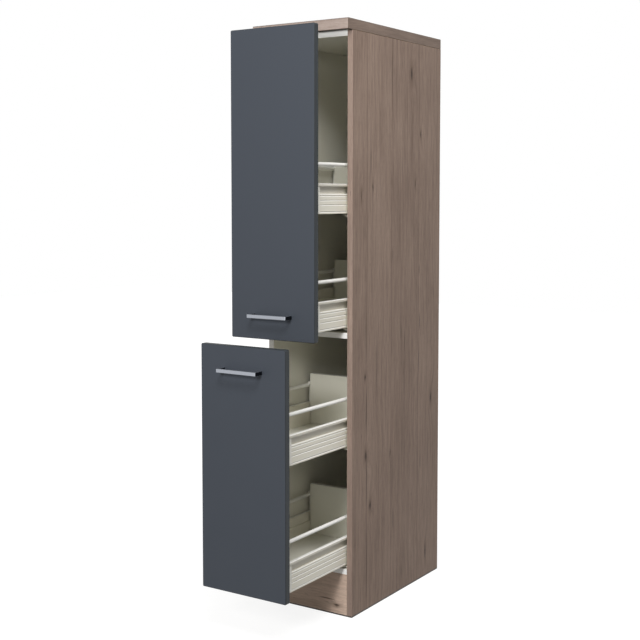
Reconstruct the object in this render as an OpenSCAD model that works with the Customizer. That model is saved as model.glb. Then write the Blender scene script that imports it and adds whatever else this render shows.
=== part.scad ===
// Tall larder cabinet with two pull out fronts, each carrying two steel-sided drawers.
// X runs across the cabinet, Y runs into it and Z is up. The origin is the middle of the
// plinth's front bottom edge. Both pull outs are drawn part of the way out.
// Everything is in millimetres.

/* [Cabinet] */
// Outside width of the cabinet
cab_w = 300; // [280:1:340]
// Height of the side panels, from the floor to the underside of the top slab
cab_h = 1728; // [1640:1:1900]
// Thickness of the side panels
side_t = 18; // [16:1:19]
// Thickness of the boards between the side panels
board_t = 16; // [15:1:19]
// Thickness of the plinth board
plinth_t = 16; // [15:1:19]
// Height of the plinth board
plinth_h = 128; // [100:1:140]
// Underside of the middle board, above the floor
middle_z = 834; // [800:1:850]
// Thickness of the back panel
back_t = 3; // [2.5:0.5:5]
// Distance of the back panel's rear face from the rear edges of the sides
back_inset = 10; // [8:1:14]
// Depth of the side panels' grooves that hold the back panel
groove_depth = 8; // [5:1:10]

/* [Top slab] */
// Thickness of the top slab
slab_t = 32; // [22:1:40]
// How far the slab stands out past the left side panel
slab_left = 40; // [0:1:60]
// How far the slab stands out past the front edges of the sides
slab_front = 24; // [22:1:40]

/* [Fronts] */
// Thickness of the fronts
front_t = 19; // [16:1:22]
// Set-back of each front from the cabinet's outside faces
front_reveal = 5; // [1:0.5:6]
// Gap between the two fronts, and between the upper front and the slab
front_gap = 3; // [2:0.5:5]
// Height of the split between the two fronts, measured to the lower front's top edge
split_z = 838; // [828:1:850]
// Bottom edge of the lower front, above the top of the plinth
front_lift = 10; // [4:1:14]
// Gap between a closed front and the cabinet's front edges
buffer_gap = 2; // [1:0.5:3]
// Radius of the fronts' edges
front_round = 2.5; // [1:0.5:4]

/* [Handles] */
// Distance between a handle's two fixing screws
handle_cc = 128; // [96:1:192]
// Width and height of a handle's legs, and height of its bar
handle_leg = 8; // [7:1:12]
// Height of the handle's bar
handle_h = 10; // [8:1:14]
// Thickness of the handle's bar
handle_bar = 8; // [6:1:10]
// How far a handle stands out from the front
handle_out = 32; // [26:1:40]
// Distance from a front's edge at the split to the middle of its handle
handle_edge = 68; // [50:1:90]

/* [Position and travel] */
// How far the upper front is drawn out of the closed position
upper_open = 171; // [0:1:378]
// How far the lower front is drawn out of the closed position
lower_open = 313; // [0:1:378]
// Full travel of the runners
travel = 378; // [340:1:390]

/* [Drawers] */
// Height of the steel drawer sides
side_h = 86; // [84:1:100]
// Thickness of the drawer sides' sheet steel
sheet_t = 1.2; // [1:0.1:1.5]
// Length of the drawers, from the front's inner face
drawer_len = 500; // [495:1:505]
// Thickness of the drawers' base boards
base_t = 16; // [12:1:16]
// Thickness of the drawers' back boards
rear_t = 16; // [12:1:18]
// Top of the back boards above the drawer's bottom edge
rear_h = 178; // [155:1:190]
// Top of the uppermost drawer's back board above the drawer's bottom edge
low_rear_h = 143; // [120:1:150]
// Diameter of the gallery rails
rail_d = 11; // [8:0.5:12]
// Height of the rails' centre line above the drawer sides
rail_rise = 55; // [40:1:60]
// Bottom edge of the lowest drawer above the bottom board
lower_lift = 12; // [11:1:20]
// Distance between the two lower drawers
lower_pitch = 355; // [300:1:380]
// Bottom edge of the third drawer above the middle board
upper_lift = 16; // [14:0.5:30]
// Distance between the two upper drawers
upper_pitch = 334.5; // [300:0.5:360]

/* [Runners] */
// Thickness of the runners' sheet steel
runner_t = 1.5; // [1.2:0.1:1.6]
// Length of the cabinet runners
runner_len = 500; // [490:1:510]
// Set-back of the runners from the cabinet's front edges
runner_inset = 8; // [8:1:12]
// Space between the runners' rear ends and the back panel
runner_behind = 25; // [19:1:60]
// Diameter of the nylon rollers
roller_d = 24; // [22:0.5:24]
// Width of the nylon rollers
roller_w = 5.5; // [4.5:0.1:5.5]
// Diameter of the roller axles
axle_d = 6; // [4:0.5:7]
// Radial clearance of a roller on its axle
axle_play = 0.05; // [0.02:0.01:0.1]
// Gap between a roller and the track that it runs on
roll_play = 0.3; // [0.3:0.05:0.4]

/* [Hidden] */
eps = 0.01;
cut = 1;
hole_over = 0.5;
$fn = 48;

// Colours
oak = [0.56, 0.49, 0.44];
melamine = [0.9, 0.89, 0.86];
hardboard = [0.82, 0.81, 0.77];
slate = [0.3, 0.32, 0.36];
cream = [0.9, 0.88, 0.8];
rail_white = [0.95, 0.95, 0.93];
satin = [0.66, 0.68, 0.72];
nylon = [0.88, 0.87, 0.82];
holder_grey = [0.72, 0.71, 0.67];
zinc = [0.7, 0.71, 0.73];
beech = [0.8, 0.65, 0.46];

// Cabinet, worked out from the sizes above
half_w = cab_w / 2;
half_in = half_w - side_t;
back_y = runner_inset + runner_len + runner_behind;
cab_d = back_y + back_t + back_inset;
groove_play = 0.1;
bottom_z = plinth_h;
top_z = cab_h - board_t;
board_z = [bottom_z, middle_z, top_z];
board_gap = 0.2;

// Fixings of the boards: dowels and cam locks, placed from each board's front and rear edge
fix_play = 0.05;
dowel_r = 4;
dowel_side = 11;
dowel_board = 19;
cam_r = 7.5;
cam_h = 12.5;
cam_reach = 34;
cam_slot_w = 1.2;
bolt_r = 3.5;
bolt_side = 11;
fix_edge = 60;
fix_step = 32;
cam_y = [fix_edge, back_y - fix_edge];
dowel_y = [fix_edge + fix_step, back_y - fix_edge - fix_step];
plinth_dowel_z = [plinth_h / 4, plinth_h * 3 / 4];

// Wood screws: head, shank and how deep they reach
screw_head_r = 3.5;
screw_head_h = 2;
screw_r = 1.75;
screw_depth = 12;
slab_screw_depth = 18;
slab_screw_in = 40;
slab_screw_x = half_in - slab_screw_in;
slab_screw_front = 80;
slab_screw_rear = 110;
slab_screw_y = [slab_screw_front, back_y - slab_screw_rear];

// Wall brackets under the top board
angle_leg = 40;
angle_w = 40;
angle_t = 2;
angle_x = half_in / 2;
wall_hole_r = 3;
wall_hole_drop = 24;
wall_hole_z = top_z - wall_hole_drop;
angle_screw_in = 25;
angle_screw_y = back_y - angle_screw_in;

// Fronts
front_half_w = half_w - front_reveal;
lower_front_z = [plinth_h + front_lift, split_z];
upper_front_z = [split_z + front_gap, cab_h - front_gap];
upper_y = -buffer_gap - upper_open;
lower_y = -buffer_gap - lower_open;
handle_screw_r = 2;
handle_screw_head_r = 4;
handle_screw_head_h = 2.5;
handle_screw_in = 18;
handle_round = 3;
upper_handle_z = upper_front_z[0] + handle_edge;
lower_handle_z = lower_front_z[1] - handle_edge;

// Drawers, from the top one down: name, bottom edge, front's inner face and back height
drawers = ["u1", "u2", "l1", "l2"];
lower_floor = bottom_z + board_t;
upper_floor = middle_z + board_t;
drawer_z = [
    upper_floor + upper_lift + upper_pitch,
    upper_floor + upper_lift,
    lower_floor + lower_lift + lower_pitch,
    lower_floor + lower_lift
];
drawer_y = [upper_y, upper_y, lower_y, lower_y];
drawer_rear_h = [low_rear_h, rear_h, rear_h, rear_h];

// Section of a drawer side, measured from the cabinet side's inner face
lip_gap = 2.5;
skirt_gap = 6;
web_gap = 13;
inner_web_gap = 18;
lip_x = half_in - lip_gap;
skirt_x = half_in - skirt_gap;
web_x = half_in - web_gap;
inner_web_x = half_in - inner_web_gap;
shoulder_z = 56.8;
lip_h = 7.5;
hem_r = 3;
flange_w = 12;
bead_z = [5.5, 25, 38, 50.5];
bead_half = 2;
bead_depth = 0.8;
bead_slope = 0.8;
drawer_play = 0.3;

// Drawer fittings
plate_t = 2;
plate_in = 14;
strip_t = 1.2;
strip_w = 6;
strip_play = 0.2;
strip_below_lip = 1.5;
leg_t = 1.5;
leg_len = 30;
leg_z = [20, 54];
bracket_screw_in = 10;
bracket_screw_x = inner_web_x - bracket_screw_in;
bracket_screw_z = [30, 66];
rail_r = rail_d / 2;
rail_x = web_x - sheet_t / 2;
rail_z = side_h + rail_rise;
socket_wall = 3;
socket_len = 8;
socket_floor = 2;
holder_t = 1.5;
holder_in = 24;
holder_over = 9;
rear_play = 1.3;
rear_half_w = inner_web_x - sheet_t - rear_play;
base_half_w = inner_web_x - sheet_t - drawer_play;

// Cabinet runner: a channel open at the top, with the drawer's skirt hanging in it
track_drop = 6.5;
plate_up = 30;
blade_top = 50;
blade_play = 0.8;
blade_x = inner_web_x + blade_play;
lane_x = blade_x + runner_t;
guard_z = 18.5;
guard_w = 6.5;
stop_t = 2;
stop_h = 14;
stop_play = 2;
runner_screw_z = 12;
runner_screw_end = 36;
runner_screw_y = [runner_screw_end, runner_len / 2, runner_len - runner_screw_end];

// Rollers and their axles
roller_r = roller_d / 2;
axle_r = axle_d / 2;
collar_r = axle_r + 1.5;
collar_t = 0.5;
head_t = 0.7;
head_r = axle_r + 1.2;
side_play = 0.3;
head_play = 0.4;
front_roller_in = 14;
front_roller_y = runner_inset + front_roller_in;
front_roller_z = shoulder_z - sheet_t - roll_play - roller_r;
rear_roller_z = roll_play + roller_r - track_drop;
rear_roller_back = 14;
rear_roller_y = drawer_len - rear_roller_back;
rear_roller_stop_y = rear_roller_y - buffer_gap - travel - roller_r;
front_roller_x = lane_x + collar_t + side_play;
rear_roller_x = skirt_x - sheet_t - bead_depth - head_play - side_play - roller_w;

CABINET = [
    "side_panel_right", "side_panel_left", "top_board", "middle_board", "bottom_board",
    "back_panel", "plinth", "top_slab", "board_dowels", "cam_locks", "wall_brackets",
    "cabinet_screws"
];
PULLOUTS = [
    "upper_front", "lower_front", "upper_handle", "lower_handle",
    "upper_handle_screws", "lower_handle_screws", "upper_front_screws", "lower_front_screws"
];
PER_DRAWER = [
    "runners", "front_rollers", "side_right", "side_left", "base", "rear_board", "rails",
    "front_brackets", "rear_holders", "rear_rollers"
];

// ---- helpers ----

// Draws its children and their mirror image on the cabinet's left
module both_sides() {
    children();
    mirror([1, 0, 0]) children();
}

// Extrudes an X-Z outline from y0 to y1
module along_y(y0, y1) {
    translate([0, y1, 0]) rotate([90, 0, 0]) linear_extrude(y1 - y0) children();
}

// A round bar along X, from x0 to x1
module bar_x(x0, x1, y, z, r) {
    translate([x0, y, z]) rotate([0, 90, 0]) cylinder(h = x1 - x0, r = r);
}

// A round bar along Y, from y0 to y1
module bar_y(x, y0, y1, z, r) {
    translate([x, y0, z]) rotate([-90, 0, 0]) cylinder(h = y1 - y0, r = r);
}

// A block between two corners
module block(a, b) {
    translate(a) cube(b - a);
}

function arc(cx, cy, r, a0, a1, steps = 6) =
    [for (i = [0 : steps]) let(a = a0 + (a1 - a0) * i / steps) [cx + r * cos(a), cy + r * sin(a)]];

// ---- cabinet ----

// Holes at the right hand ends of the boards and in the right side panel
module board_end_holes(z) {
    for (y = dowel_y)
        bar_x(half_in - dowel_board - hole_over, half_in + dowel_side + hole_over, y, z,
            dowel_r + fix_play);
    for (y = cam_y)
        bar_x(half_in - cam_reach, half_in + bolt_side + hole_over, y, z, bolt_r + fix_play);
}

module plinth_end_holes() {
    for (z = plinth_dowel_z)
        bar_x(half_in - dowel_board - hole_over, half_in + dowel_side + hole_over, plinth_t / 2, z,
            dowel_r + fix_play);
}

module side_panel() {
    color(oak) difference() {
        block([half_in, 0, 0], [half_w, cab_d, cab_h]);
        block([half_in - cut, back_y - groove_play, plinth_h - board_gap],
            [half_in + groove_depth, back_y + back_t + groove_play, cab_h + cut]);
        for (z = board_z) board_end_holes(z + board_t / 2);
        plinth_end_holes();
        for (z = drawer_z) for (y = runner_screw_y)
            bar_x(half_in - cut, half_in + screw_depth + hole_over, runner_inset + y,
                z + runner_screw_z, screw_r + fix_play);
    }
}

module side_panel_right() {
    side_panel();
}

module side_panel_left() {
    mirror([1, 0, 0]) side_panel();
}

module cam_pocket(z) {
    for (y = cam_y) translate([half_in - cam_reach, y, z - cut])
        cylinder(h = cam_h + board_gap + cut, r = cam_r + fix_play);
}

// A board between the side panels, whose underside is at z
module cross_board(z) {
    difference() {
        block([-half_in, 0, z], [half_in, back_y, z + board_t]);
        both_sides() {
            board_end_holes(z + board_t / 2);
            cam_pocket(z);
        }
        children();
    }
}

module top_board() {
    color(melamine) cross_board(top_z) {
        both_sides() for (y = slab_screw_y) {
            translate([slab_screw_x, y, top_z - cut])
                cylinder(h = board_t + 2 * cut, r = screw_r + fix_play);
            translate([slab_screw_x, y, top_z - cut])
                cylinder(h = screw_head_h + cut, r = screw_head_r + fix_play);
        }
        both_sides() translate([angle_x, angle_screw_y, top_z - cut])
            cylinder(h = screw_depth + hole_over + cut, r = screw_r + fix_play);
    }
}

module middle_board() {
    color(melamine) cross_board(middle_z);
}

module bottom_board() {
    color(melamine) cross_board(bottom_z);
}

module back_panel() {
    reach = half_in + groove_depth - board_gap;
    color(hardboard) difference() {
        block([-reach, back_y, plinth_h], [reach, back_y + back_t, cab_h - board_gap]);
        both_sides() bar_y(angle_x, back_y - cut, back_y + back_t + cut, wall_hole_z, wall_hole_r);
    }
}

module plinth() {
    color(oak) difference() {
        block([-half_in, 0, 0], [half_in, plinth_t, plinth_h]);
        both_sides() plinth_end_holes();
    }
}

module top_slab() {
    color(oak) difference() {
        block([-half_w - slab_left, -slab_front, cab_h], [half_w, cab_d, cab_h + slab_t]);
        both_sides() for (y = slab_screw_y) translate([slab_screw_x, y, cab_h - cut])
            cylinder(h = slab_screw_depth + hole_over + cut, r = screw_r + fix_play);
    }
}

module dowel_x(y, z) {
    bar_x(half_in - dowel_board, half_in + dowel_side, y, z, dowel_r);
}

module board_dowels() {
    color(beech) both_sides() {
        for (z = board_z) for (y = dowel_y) dowel_x(y, z + board_t / 2);
        for (z = plinth_dowel_z) dowel_x(plinth_t / 2, z);
    }
}

// A cam in the board's underside, and the bolt that it pulls into the side panel
module cam_locks() {
    color(zinc) both_sides() for (z = board_z) for (y = cam_y) {
        translate([half_in - cam_reach, y, z]) difference() {
            cylinder(h = cam_h, r = cam_r);
            translate([-cam_r / 2, -cam_slot_w / 2, -cut]) cube([cam_r, cam_slot_w, 2 * cut]);
        }
        bar_x(half_in - cam_reach + cam_r + board_gap, half_in + bolt_side, y, z + board_t / 2, bolt_r);
    }
}

module wall_brackets() {
    color(zinc) both_sides() difference() {
        union() {
            block([angle_x - angle_w / 2, back_y - angle_t, top_z - angle_leg],
                [angle_x + angle_w / 2, back_y, top_z]);
            block([angle_x - angle_w / 2, back_y - angle_leg, top_z - angle_t],
                [angle_x + angle_w / 2, back_y, top_z]);
        }
        bar_y(angle_x, back_y - angle_t - cut, back_y + cut, wall_hole_z, wall_hole_r);
        translate([angle_x, angle_screw_y, top_z - angle_t - cut])
            cylinder(h = angle_t + 2 * cut, r = screw_r + fix_play);
    }
}

// Screws of the runners, the slab and the wall brackets
module cabinet_screws() {
    runner_face = half_in - runner_t;
    color(zinc) both_sides() {
        for (z = drawer_z) for (y = runner_screw_y) {
            bar_x(runner_face - screw_head_h, runner_face, runner_inset + y, z + runner_screw_z,
                screw_head_r);
            bar_x(runner_face - eps, half_in + screw_depth, runner_inset + y, z + runner_screw_z,
                screw_r);
        }
        for (y = slab_screw_y) translate([slab_screw_x, y, top_z]) {
            cylinder(h = screw_head_h, r = screw_head_r);
            cylinder(h = board_t + slab_screw_depth, r = screw_r);
        }
        translate([angle_x, angle_screw_y, top_z - angle_t - screw_head_h]) {
            cylinder(h = screw_head_h, r = screw_head_r);
            cylinder(h = screw_head_h + angle_t + screw_depth, r = screw_r);
        }
    }
}

// ---- cabinet runners and their front rollers ----

// Outline of the right hand runner, with the drawer's bottom edge at z = 0
module runner_outline() {
    translate([half_in - runner_t, -track_drop - runner_t])
        square([runner_t, plate_up + track_drop + runner_t]);
    translate([blade_x, -track_drop - runner_t]) square([half_in - blade_x, runner_t]);
    translate([blade_x, -track_drop - runner_t])
        square([runner_t, blade_top + track_drop + runner_t]);
    translate([lane_x - eps, guard_z]) square([guard_w + eps, runner_t]);
}

// An axle on the face at x, pointing along dir, with its collar and its riveted head
module axle(x, dir, y, z) {
    reach = collar_t + side_play + roller_w + side_play + head_t;
    translate([x, y, z]) rotate([0, dir * 90, 0]) {
        translate([0, 0, -eps]) cylinder(h = collar_t + eps, r = collar_r);
        translate([0, 0, -eps]) cylinder(h = reach + eps, r = axle_r);
        translate([0, 0, reach - head_t]) cylinder(h = head_t, r = head_r);
    }
}

module runners(z) {
    color(cream) both_sides() translate([0, 0, z]) {
        difference() {
            along_y(runner_inset, runner_inset + runner_len) runner_outline();
            for (y = runner_screw_y)
                bar_x(half_in - runner_t - cut, half_in + cut, runner_inset + y, runner_screw_z,
                    screw_r + fix_play);
        }
        axle(lane_x, 1, front_roller_y, front_roller_z);
        block([lane_x - eps, rear_roller_stop_y - stop_play - stop_t, -track_drop - eps],
            [lane_x + guard_w, rear_roller_stop_y - stop_play, stop_h - track_drop]);
    }
}

// A nylon roller along X, from x = 0, with chamfered rims and a recess round its hub
module roller() {
    rim = 0.6;
    wall = 2;
    slope = 0.5;
    recess = 0.8;
    bore = axle_r + axle_play;
    hub = bore + wall;
    web = roller_r - wall;
    rotate([0, 90, 0]) rotate_extrude() polygon([
        [bore, 0], [hub, 0], [hub + slope, recess], [web - slope, recess],
        [web, 0], [roller_r - rim, 0], [roller_r, rim], [roller_r, roller_w - rim],
        [roller_r - rim, roller_w], [web, roller_w], [web - slope, roller_w - recess],
        [hub + slope, roller_w - recess], [hub, roller_w], [bore, roller_w]
    ]);
}

module front_rollers(z) {
    color(nylon) both_sides()
        translate([front_roller_x, front_roller_y, z + front_roller_z]) roller();
}

// ---- fronts and handles ----

// A board in the X-Z plane whose front edges and corners are rounded
module rounded_front(z0, z1) {
    r = front_round;
    w = 2 * front_half_w;
    h = z1 - z0;
    translate([0, 0, z0]) intersection() {
        linear_extrude(h) polygon(concat(
            arc(-w / 2 + r, r - front_t, r, 180, 270), arc(w / 2 - r, r - front_t, r, 270, 360),
            [[w / 2, 0], [-w / 2, 0]]));
        translate([-w / 2, 0, 0]) rotate([90, 0, 90]) linear_extrude(w) polygon(concat(
            arc(r - front_t, h - r, r, 90, 180), arc(r - front_t, r, r, 180, 270),
            [[0, 0], [0, h]]));
    }
}

module front(z_pair, y, handle_z, own) {
    color(slate) difference() {
        translate([0, y, 0]) rounded_front(z_pair[0], z_pair[1]);
        both_sides() {
            bar_y(handle_cc / 2, y - front_t - cut, y + cut, handle_z, handle_screw_r + fix_play);
            for (i = own) for (v = bracket_screw_z)
                bar_y(bracket_screw_x, y - screw_depth - hole_over, y + cut, drawer_z[i] + v,
                    screw_r + fix_play);
        }
    }
}

module upper_front() {
    front(upper_front_z, upper_y, upper_handle_z, [0, 1]);
}

module lower_front() {
    front(lower_front_z, lower_y, lower_handle_z, [2, 3]);
}

// A bow handle whose legs stand on the outer face of the front whose inner face is at y
module handle(y, z) {
    half = (handle_cc + handle_leg) / 2;
    inner = half - handle_leg;
    face = y - front_t;
    r = handle_round;
    tip = face - handle_out;
    color(satin) difference() {
        translate([0, 0, z - handle_h / 2]) linear_extrude(handle_h) polygon(concat(
            [[-half, face]], arc(-half + r, tip + r, r, 180, 270),
            arc(half - r, tip + r, r, 270, 360), [[half, face]],
            [[inner, face], [inner, tip + handle_bar], [-inner, tip + handle_bar], [-inner, face]]));
        both_sides() bar_y(handle_cc / 2, face - handle_screw_in - hole_over, face + cut, z,
            handle_screw_r + fix_play);
    }
}

module upper_handle() {
    handle(upper_y, upper_handle_z);
}

module lower_handle() {
    handle(lower_y, lower_handle_z);
}

module handle_screws(y, z) {
    color(zinc) both_sides() {
        bar_y(handle_cc / 2, y - front_t - handle_screw_in, y + eps, z, handle_screw_r);
        bar_y(handle_cc / 2, y, y + handle_screw_head_h, z, handle_screw_head_r);
    }
}

module upper_handle_screws() {
    handle_screws(upper_y, upper_handle_z);
}

module lower_handle_screws() {
    handle_screws(lower_y, lower_handle_z);
}

// Screws that hold the drawers' front brackets
module front_screws(y, own) {
    color(zinc) both_sides() for (i = own) for (v = bracket_screw_z) {
        bar_y(bracket_screw_x, y - screw_depth, y + plate_t + eps, drawer_z[i] + v, screw_r);
        bar_y(bracket_screw_x, y + plate_t, y + plate_t + screw_head_h, drawer_z[i] + v,
            screw_head_r);
    }
}

module upper_front_screws() {
    front_screws(upper_y, [0, 1]);
}

module lower_front_screws() {
    front_screws(lower_y, [2, 3]);
}

// ---- drawers ----

// One face of the beaded skirt, at x, from the bottom up
function skirt_face(x) = concat(
    [[x, 0]],
    [for (v = bead_z) each [
        [x, v - bead_half], [x - bead_depth, v - bead_half + bead_slope],
        [x - bead_depth, v + bead_half - bead_slope], [x, v + bead_half]
    ]],
    [[x, shoulder_z]]);

function reversed(list) = [for (i = [len(list) - 1 : -1 : 0]) list[i]];

// Outline of the right hand drawer side: skirt, shoulder, inner web, base flange, upper web
// and the hemmed flange along the top
module drawer_side_outline() {
    hem_x = lip_x - hem_r;
    hem_z = side_h - hem_r;
    polygon(concat(skirt_face(skirt_x), reversed(skirt_face(skirt_x - sheet_t))));
    translate([inner_web_x - sheet_t, shoulder_z - sheet_t])
        square([skirt_x - inner_web_x + sheet_t, sheet_t]);
    translate([inner_web_x - sheet_t, 0]) square([sheet_t, shoulder_z]);
    translate([inner_web_x - flange_w, 0]) square([flange_w, sheet_t]);
    translate([web_x - sheet_t, shoulder_z - sheet_t])
        square([sheet_t, side_h - shoulder_z + sheet_t]);
    translate([web_x - sheet_t, side_h - sheet_t]) square([hem_x - web_x + sheet_t, sheet_t]);
    translate([hem_x, hem_z]) intersection() {
        difference() {
            circle(r = hem_r);
            circle(r = hem_r - sheet_t);
        }
        translate([-eps, -eps]) square(hem_r + cut);
    }
    translate([lip_x - sheet_t, side_h - lip_h]) square([sheet_t, lip_h - hem_r]);
}

module drawer_side(z, y) {
    color(cream) translate([0, y, z]) {
        along_y(plate_t, drawer_len) drawer_side_outline();
        axle_face = rear_roller_x + roller_w + side_play + collar_t;
        bar_x(axle_face - eps, skirt_x - sheet_t + eps, rear_roller_y, rear_roller_z, collar_r);
        axle(axle_face, -1, rear_roller_y, rear_roller_z);
    }
}

module drawer_side_right(z, y) {
    drawer_side(z, y);
}

module drawer_side_left(z, y) {
    mirror([1, 0, 0]) drawer_side(z, y);
}

module drawer_base(z, y) {
    color(melamine)
        block([-base_half_w, y + plate_t, z + sheet_t],
            [base_half_w, y + drawer_len, z + sheet_t + base_t]);
}

module rear_board(z, y, h) {
    color(melamine)
        block([-rear_half_w, y + drawer_len - rear_t, z + sheet_t + base_t],
            [rear_half_w, y + drawer_len, z + h]);
}

module rails(z, y) {
    color(rail_white) both_sides()
        bar_y(rail_x, y + socket_floor, y + drawer_len - socket_floor, z + rail_z, rail_r);
}

// Plate on the front, leg along the drawer's inside, strip over the side's outer end, and
// above them the socket that takes the rail
module front_brackets(z, y) {
    strip_x = skirt_x + strip_play;
    strip_top = side_h - lip_h - strip_below_lip;
    color(rail_white) both_sides() translate([0, y, z]) {
        difference() {
            union() {
                block([inner_web_x - sheet_t - plate_in, 0, leg_z[0]],
                    [strip_x + strip_t, plate_t, strip_top]);
                block([skirt_x - sheet_t, 0, 0], [strip_x + strip_t, plate_t, strip_top]);
                block([inner_web_x - sheet_t - leg_t, 0, leg_z[0]],
                    [inner_web_x - sheet_t, plate_t + leg_len, leg_z[1]]);
                block([strip_x, 0, 0], [strip_x + strip_t, plate_t + strip_w, strip_top]);
            }
            for (v = bracket_screw_z)
                bar_y(bracket_screw_x, -cut, plate_t + cut, v, screw_r + fix_play);
        }
        difference() {
            bar_y(rail_x, 0, socket_len, rail_z, rail_r + socket_wall);
            bar_y(rail_x, socket_floor, socket_len + cut, rail_z, rail_r + fix_play);
        }
    }
}

// Plate across the rear corner, wider above the runner, with the block that takes the rail's end
module rear_holders(z, y) {
    half = rail_r + socket_wall;
    color(holder_grey) both_sides() translate([0, y + drawer_len, z]) difference() {
        union() {
            block([rear_half_w - holder_in, 0, sheet_t + base_t],
                [inner_web_x, holder_t, rail_z + holder_over]);
            block([inner_web_x - eps, 0, shoulder_z - sheet_t],
                [skirt_x, holder_t, rail_z + holder_over]);
            block([rear_half_w + drawer_play, -socket_len, rail_z - half],
                [rail_x + rail_r + socket_wall / 2, eps, rail_z + half]);
        }
        bar_y(rail_x, -socket_len - cut, -socket_floor, rail_z, rail_r + fix_play);
    }
}

module rear_rollers(z, y) {
    color(nylon) both_sides()
        translate([rear_roller_x, y + rear_roller_y, z + rear_roller_z]) roller();
}

// ---- assembly ----

side_panel_right();
side_panel_left();
top_board();
middle_board();
bottom_board();
back_panel();
plinth();
top_slab();
board_dowels();
cam_locks();
wall_brackets();
cabinet_screws();
upper_front();
lower_front();
upper_handle();
lower_handle();
upper_handle_screws();
lower_handle_screws();
upper_front_screws();
lower_front_screws();

for (i = [0 : len(drawers) - 1]) {
    d = drawers[i];
    z = drawer_z[i];
    y = drawer_y[i];
    runners(z);
    front_rollers(z);
    drawer_side_right(z, y);
    drawer_side_left(z, y);
    drawer_base(z, y);
    rear_board(z, y, drawer_rear_h[i]);
    rails(z, y);
    front_brackets(z, y);
    rear_holders(z, y);
    rear_rollers(z, y);
}
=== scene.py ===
# %% [markdown]
# # A pull-out larder cabinet
#
# A tall cabinet, 300 mm wide, stands at the end of a run of kitchen units. Two slate fronts pull out of it
# on roller runners, and behind each hang two drawers with steel sides and a round rail above them. The exact
# shapes come from a CAD file, which holds every board, sheet and screw in its place. This script gives them
# their looks: it dresses the plain parts with a material, builds the ones whose rounded arrises and folded
# sheet show, and sets up the camera and the studio. The sizes of the cabinet's parts are in millimetres, and
# MM turns them to Blender's metres. The camera, the lamps and the floor are placed in metres.

import math

import bmesh
import bpy
from mathutils import Matrix, Vector


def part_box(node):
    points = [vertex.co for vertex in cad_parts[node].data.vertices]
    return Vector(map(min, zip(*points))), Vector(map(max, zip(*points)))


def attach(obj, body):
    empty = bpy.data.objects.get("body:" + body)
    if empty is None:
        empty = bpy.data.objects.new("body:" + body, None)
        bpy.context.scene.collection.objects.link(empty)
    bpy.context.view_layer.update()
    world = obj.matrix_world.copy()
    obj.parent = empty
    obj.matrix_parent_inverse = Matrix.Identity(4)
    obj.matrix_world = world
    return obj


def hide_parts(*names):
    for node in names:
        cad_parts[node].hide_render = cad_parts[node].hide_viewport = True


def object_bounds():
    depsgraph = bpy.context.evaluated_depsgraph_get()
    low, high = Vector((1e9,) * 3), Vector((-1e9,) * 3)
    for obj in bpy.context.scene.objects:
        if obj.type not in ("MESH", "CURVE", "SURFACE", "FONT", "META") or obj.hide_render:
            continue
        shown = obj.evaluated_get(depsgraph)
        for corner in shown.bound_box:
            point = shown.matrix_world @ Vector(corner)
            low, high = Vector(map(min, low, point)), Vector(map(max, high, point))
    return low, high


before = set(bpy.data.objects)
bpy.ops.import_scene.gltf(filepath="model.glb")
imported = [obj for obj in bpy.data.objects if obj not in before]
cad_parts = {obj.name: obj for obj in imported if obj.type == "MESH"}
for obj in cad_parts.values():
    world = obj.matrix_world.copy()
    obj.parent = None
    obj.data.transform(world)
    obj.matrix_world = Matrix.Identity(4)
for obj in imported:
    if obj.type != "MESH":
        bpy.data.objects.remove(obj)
cad_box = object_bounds()
MM = 0.001
print("CAD box in mm:", [[round(v / MM) for v in corner] for corner in cad_box])

# %% [markdown]
# ## The camera
#
# The cabinet is seen from its right and a little above its middle, through a long lens, from about 3.5 m
# away. A photographer who has to look slightly down moves the lens rather than tilt the camera further, so
# that the cabinet's upright edges stay nearly parallel. shift_y does the same here.

# %% Camera
TILT_DOWN, TURN_LEFT = 0.0683, 0.5813
camera_data = bpy.data.cameras.new("studio_camera")
camera_data.sensor_width = 36
camera_data.lens = 64.74
camera_data.shift_y = -0.0719
camera = bpy.data.objects.new("studio_camera", camera_data)
camera.location = (1.9059, -2.8445, 1.2534)
camera.rotation_euler = (math.pi / 2 - TILT_DOWN, 0, TURN_LEFT)
bpy.context.scene.collection.objects.link(camera)
bpy.context.scene.camera = camera
bpy.context.scene.view_settings.view_transform = "Standard"
cabinet_middle = (Vector(cad_box[0]) + Vector(cad_box[1])) / 2
print("Camera", round((camera.location - cabinet_middle).length, 2), "m from the cabinet's middle")

# %% [markdown]
# ## Colours and nodes
#
# Three small helpers serve every material. linear() turns a colour as a screen shows it into the linear
# numbers that Blender mixes with. add() makes one shader node: it sets the node's options and inputs, and
# joins it to the nodes before it, so that a material reads as a list of steps. start_material() opens a new
# material with the few numbers that are the same all over it.


# %% Colour and node helpers
def linear(hex_colour):
    parts = [int(hex_colour[i : i + 2], 16) / 255 for i in (1, 3, 5)]
    return (*(p / 12.92 if p <= 0.04045 else ((p + 0.055) / 1.055) ** 2.4 for p in parts), 1)


def add(tree, kind, settings=(), links=()):
    node = tree.nodes.new("ShaderNode" + kind)
    for key, value in [*dict(settings).items(), *dict(links).items()]:
        if isinstance(value, bpy.types.NodeSocket):
            tree.links.new(value, node.inputs[key])
        elif hasattr(node, str(key)):
            setattr(node, key, value)
        else:
            node.inputs[key].default_value = value
    return node


def start_material(name, colour, roughness, ior=1.5, metallic=0.0):
    material = bpy.data.materials.new(name)
    material.use_nodes = True
    shader = material.node_tree.nodes["Principled BSDF"]
    shader.inputs["Base Color"].default_value = linear(colour)
    shader.inputs["Roughness"].default_value = roughness
    shader.inputs["IOR"].default_value = ior
    shader.inputs["Metallic"].default_value = metallic
    return material, material.node_tree, shader


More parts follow.
